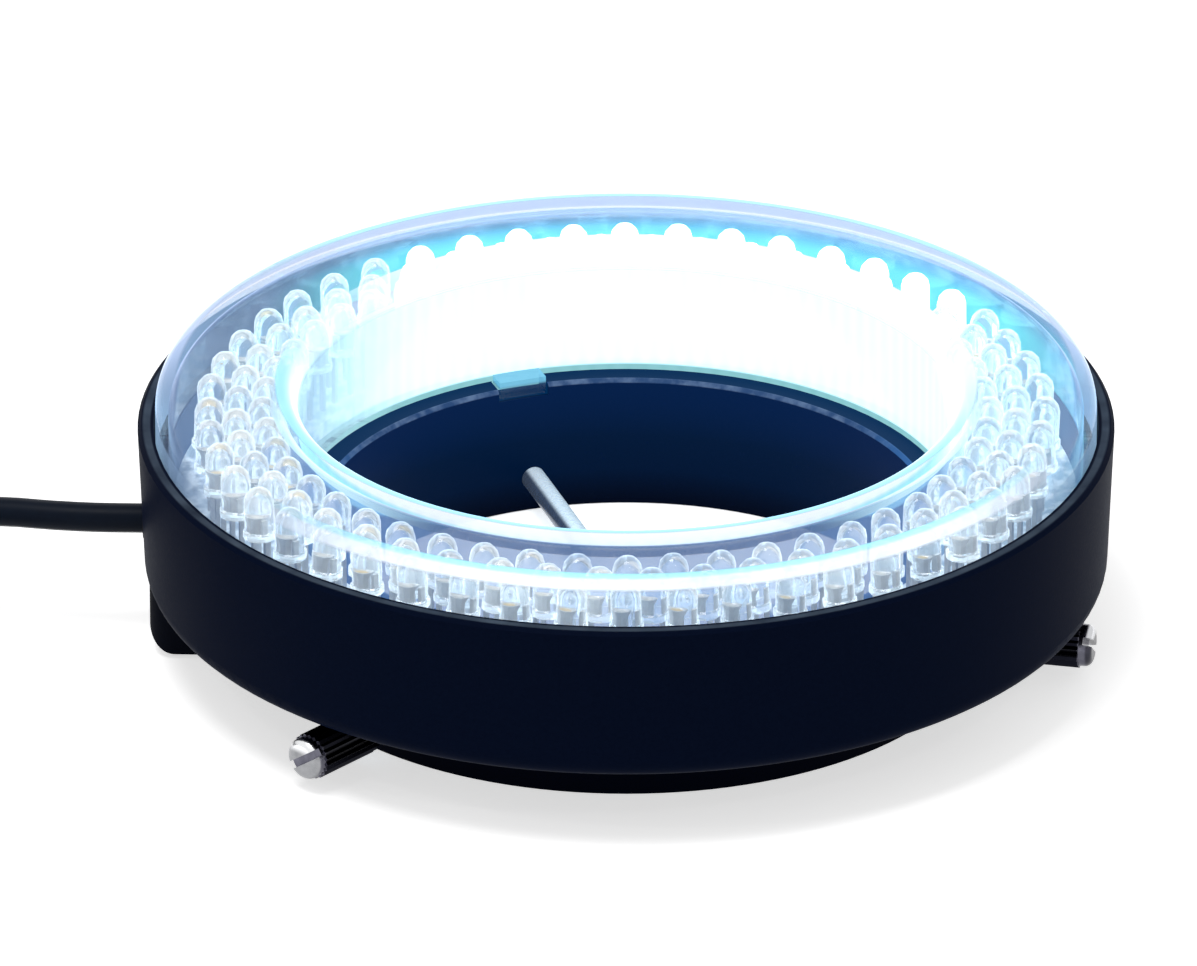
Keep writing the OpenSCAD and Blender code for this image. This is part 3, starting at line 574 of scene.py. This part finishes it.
screw_start, screw_step, screw_z = 108, 120, 3.5
drawn_steel, paint = new_paint("drawn_steel")
radius, angle, _ = stations(paint)
speckle = grain(paint, 1.5, 4)
off_screw = (angle - (screw_start - screw_step / 2)) % screw_step - screw_step / 2
# Painted shade: each stud is dark on one side and bright on the other, with a faint painted glow.
shaded = (radius * paint.math("SINE", off_screw * math.radians(1))).rise(0.5, 0.95)
paint.shade({
    "Base Color": shaded.mix(speckle.mix(tone(224, 236, 246), tone(238, 246, 252)), tone(48, 66, 94)),
    "Metallic": 0.2, "Roughness": 0.2 + 0.15 * speckle,
    "Emission Color": shaded.mix(tone(96, 116, 130), tone(44, 50, 58)), "Emission Strength": 1})
dress(drawn_steel, "clamp_stud_1", "clamp_stud_2", "clamp_stud_3")

nose_r, face_r, dark_end_angle = 46.6, 47.3, -12
dark_nickel, paint = new_paint("dark_nickel")
radius, angle, height = stations(paint)
mottle = grain(paint, 1, 3)
nose, face = radius.rise(nose_r, nose_r + 0.15), radius.rise(face_r, face_r + 0.3)
flutes = nose.mix(tone(24, 25, 34), mottle.mix(tone(66, 66, 78), tone(124, 124, 136)))
# Painted highlight: the upper part of each end is white; the end of the head near -12 degrees is darker.
bright_end = height.rise(screw_z + 0.6, screw_z + 1.4).mix(
    mottle.mix(tone(122, 123, 126), tone(168, 169, 172)), tone(236, 237, 239))
dark_end = height.rise(screw_z + 0.7, screw_z + 1.2).mix(tone(56, 56, 64), tone(206, 207, 210))
paint.shade({
    "Base Color": face.mix(flutes, near(angle, dark_end_angle, 20, 10).mix(bright_end, dark_end)),
    "Metallic": 1, "Roughness": 0.16 + 0.14 * grain(paint, 2, 3),
    "Normal": bump(paint, grain(paint, 5, 3), 0.008)})
dress(dark_nickel, "thumb_head_1", "thumb_head_2", "thumb_head_3")


# Cord: a thin five-wire lead in a smooth dark jacket, 1.39 m long. It comes straight out of a rubber bush
# in the housing's wall and drops to the table beside the light, and the rest is wound in a neat coil.

black_rubber, paint = new_paint("black_rubber")
speckle = grain(paint, 2, 3)
paint.shade({
    "Base Color": speckle.mix(tone(9, 10, 14), tone(20, 22, 28)), "Roughness": 0.5 + 0.2 * speckle,
    "Specular IOR Level": 0.3, "Normal": bump(paint, grain(paint, 5, 3), 0.01)})
dress(black_rubber, "cord_bush")

cord_jacket, paint = new_paint("cord_jacket")
speckle = grain(paint, 0.8, 4)
paint.shade({
    "Base Color": speckle.mix(tone(9, 16, 28), tone(15, 24, 38)), "Roughness": 0.34 + 0.16 * speckle,
    "Specular IOR Level": 0.06, "Normal": bump(paint, grain(paint, 3, 3), 0.008)})
dress(cord_jacket, "supply_wires")

cord_d, coil_x, coil_y, coil_z = 3.0, -90.0, 27.5, 2.4
coil_out, coil_step, coil_turns, coil_layers, turn_points = 22.5, 3.5, 3, 4, 24
exit_r, exit_z, exit_turn = 48.6146, 12.1, math.radians(178)
exit_way = Vector((math.cos(exit_turn), math.sin(exit_turn), 0))
exit_point = exit_r * exit_way + Vector((0, 0, exit_z))


def coil_point(t):
    """A point of the coil after t turns, which spirals in and out and climbs a layer at each reversal."""
    out = coil_out - coil_step * (coil_turns - abs(coil_turns - t % (2 * coil_turns)))
    layer = math.floor(t / coil_turns + 0.5)
    past = (t - layer * coil_turns) * 2 + 0.5
    up = 0 if layer < 1 else min(layer - 1 + min(1, max(0, past)), coil_layers - 1)
    turn = math.radians(-90 - 360 * t)
    return Vector((coil_x + out * math.cos(turn), coil_y + out * math.sin(turn), coil_z + coil_step * up))


coil_top = coil_z + (coil_layers - 1) * coil_step
plug_tail = Vector((-97, -19, 5.9))
route = [
    exit_point, exit_point + 5 * exit_way, (-58, 2.4, exit_z), (-63, 3.4, 12), (-67, 4.1, 11.5),
    (-71, 4.6, 10.2), (-75, 4.9, 7.2), (-79, 5, 4.2), (-83, 5, 2.8), (-87, 5, coil_z),
    *(coil_point(k / turn_points) for k in range(coil_turns * coil_layers * turn_points + 1)),
    (-93, 5, coil_top), (-96, 5, coil_top), (-100, 4.6, 12.4), (-105, 3, 11.6), (-109.5, -1, 10.4),
    (-111, -7, 9), (-109.5, -13, 7.6), (-105, -17.2, 6.5), plug_tail - Vector((3, 0, 0)), plug_tail]
line = bpy.data.curves.new("cord", "CURVE")
line.dimensions, line.use_fill_caps = "3D", True
line.bevel_depth, line.bevel_resolution, line.resolution_u = cord_d / 2000, 3, 3
spline = line.splines.new("BEZIER")
spline.bezier_points.add(len(route) - 1)
for knot, point in zip(spline.bezier_points, route):
    knot.co = Vector(point) / 1000
    knot.handle_left_type = knot.handle_right_type = "AUTO"
line.materials.append(cord_jacket)
cord = bpy.data.objects.new("cord", line)
bpy.context.scene.collection.objects.link(cord)
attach(cord, "light")
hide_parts("cord_lead", "cord_coil", "cord_tail")


# Coil tie: a woven strap round the coiled part of the cord, closed on itself and pulled tight, as the
# cord is kept for storage.

ribs, strap_thick, strap_round, strap_pull = 320, 0.0008, 0.0016, 0.0008
tie_strap, paint = new_paint("tie_strap")
point = paint.node("ShaderNodeTexCoord", output="Object")
rib = paint.node("ShaderNodeTexWave", {"bands_direction": "Y"}, {
    "Vector": point, "Scale": ribs, "Distortion": 0.6})
paint.shade({
    "Base Color": rib.mix(tone(16, 16, 19), tone(34, 34, 38)), "Roughness": 0.85,
    "Normal": bump(paint, rib, 0.12)})
tie_low, tie_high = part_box("coil_tie")
pulled_x = tie_low.x + strap_pull
strap = bmesh.new()
loop = [strap.verts.new((x, tie_low.y, z)) for x, z in (
    (pulled_x, tie_low.z), (tie_high.x, tie_low.z), (tie_high.x, tie_high.z), (pulled_x, tie_high.z))]
strap.faces.new(loop)
bmesh.ops.bevel(strap, geom=loop, offset=strap_round, affect="VERTICES", segments=4, profile=0.5,
                material=-1)
bmesh.ops.delete(strap, geom=strap.faces[:], context="FACES_ONLY")
wall = bmesh.ops.extrude_edge_only(strap, edges=strap.edges[:])["geom"]
far_edge = [item for item in wall if isinstance(item, bmesh.types.BMVert)]
bmesh.ops.translate(strap, vec=(0, tie_high.y - tie_low.y, 0), verts=far_edge)
bmesh.ops.recalc_face_normals(strap, faces=strap.faces)
bmesh.ops.solidify(strap, geom=strap.faces[:], thickness=strap_thick)
tie = piece("strap", strap, tie_strap, "light", ["coil_tie"])


# Connector: a round five-pin plug on the cord's end, moulded on in black with a ribbed boot. Its nickel
# shell goes round the pins, which stand in a black insulator.

along_x = Matrix.Translation(plug_tail / 1000) @ Matrix.Rotation(math.pi / 2, 4, "Y")
grip = turned((
    (1.5, 0, 0), (2.3, 0, 0.3), (2.55, 1.9, 0.15), (2.25, 1.9, 0), (2.25, 2.6, 0), (2.64, 2.6, 0.15),
    (2.85, 4.15, 0.15), (2.55, 4.15, 0), (2.55, 4.85, 0), (2.94, 4.85, 0.15), (3.15, 6.4, 0.15),
    (2.85, 6.4, 0), (2.85, 7.1, 0), (3.24, 7.1, 0.15), (3.5, 9, 0), (5.8, 9, 1.2), (5.8, 11.4, 0.15),
    (5.45, 11.4, 0), (5.45, 12.6, 0), (5.8, 12.6, 0.15), (5.8, 14.4, 0.15), (5.45, 14.4, 0),
    (5.45, 15.6, 0), (5.8, 15.6, 0.15), (5.8, 23, 1.2), (1.5, 23, 0)), 48)
bmesh.ops.transform(grip, matrix=along_x, verts=grip.verts)
boot = piece("plug_grip", grip, black_rubber, "light", ["plug_boot"])

bright_nickel, paint = new_paint("bright_nickel")
speckle = grain(paint, 1, 4)
paint.shade({
    "Base Color": speckle.mix(tone(186, 187, 190), tone(224, 224, 226)), "Metallic": 1,
    "Roughness": 0.14 + 0.14 * speckle})
dress(bright_nickel, "plug_shell")

black_insert, paint = new_paint("black_insert")
speckle = grain(paint, 1.5, 3)
paint.shade({
    "Base Color": speckle.mix(tone(10, 10, 12), tone(22, 22, 25)), "Roughness": 0.55 + 0.15 * speckle})
dress(black_insert, "plug_insert")
